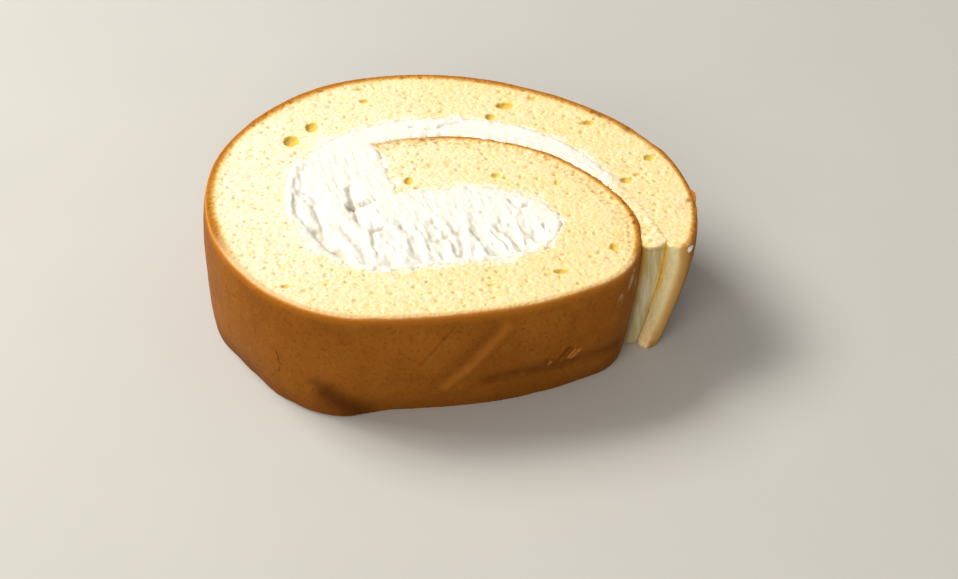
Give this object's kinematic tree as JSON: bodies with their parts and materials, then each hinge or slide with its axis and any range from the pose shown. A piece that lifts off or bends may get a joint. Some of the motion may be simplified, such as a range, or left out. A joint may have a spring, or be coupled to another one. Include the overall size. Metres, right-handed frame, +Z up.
{
  "type": "swiss roll cake slice",
  "caption": "Slice of swiss roll cake lying on its cut face: a rolled sheet of pale sponge with browned skin round a white cream filling.",
  "frame": {"origin": "middle of the slice's box, on the surface it rests on", "axes": "+Z up, out of the upper cut face; +X towards the side where the sheet's outer end lies; -Y towards the side with the dented skin"},
  "size_m": [0.1012, 0.0916, 0.0245],
  "materials": {
    "sponge": "soft open sponge crumb with a thin satin browned skin",
    "cream": "smooth whipped cream with a soft sheen"
  },
  "bodies": {
    "root": {"sponge": "sponge", "cream": "cream"}
  },
  "joints": []
}
